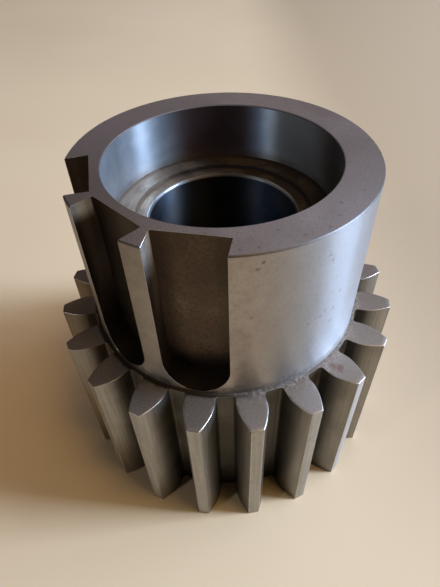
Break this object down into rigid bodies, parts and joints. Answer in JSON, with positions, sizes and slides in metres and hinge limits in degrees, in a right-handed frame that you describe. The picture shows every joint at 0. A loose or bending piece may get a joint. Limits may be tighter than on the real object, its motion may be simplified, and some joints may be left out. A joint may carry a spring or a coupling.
{
  "type": "spur pinion with a slotted hub",
  "caption": "Steel spur pinion with involute teeth, a long slotted hub and a stepped bore that seats a bearing; it meshes with a gear and is driven through the slots.",
  "frame": {"origin": "centre of the toothed end's flat face, on the bore's axis", "axes": "+Z along the bore from the toothed end towards the hub's open end; the middle slot faces -Y"},
  "size_m": [0.088, 0.088, 0.085],
  "materials": {
    "steel": "satin machined steel with brown oxide, pits and light rust"
  },
  "bodies": {
    "root": {"pinion": "steel"}
  },
  "joints": []
}
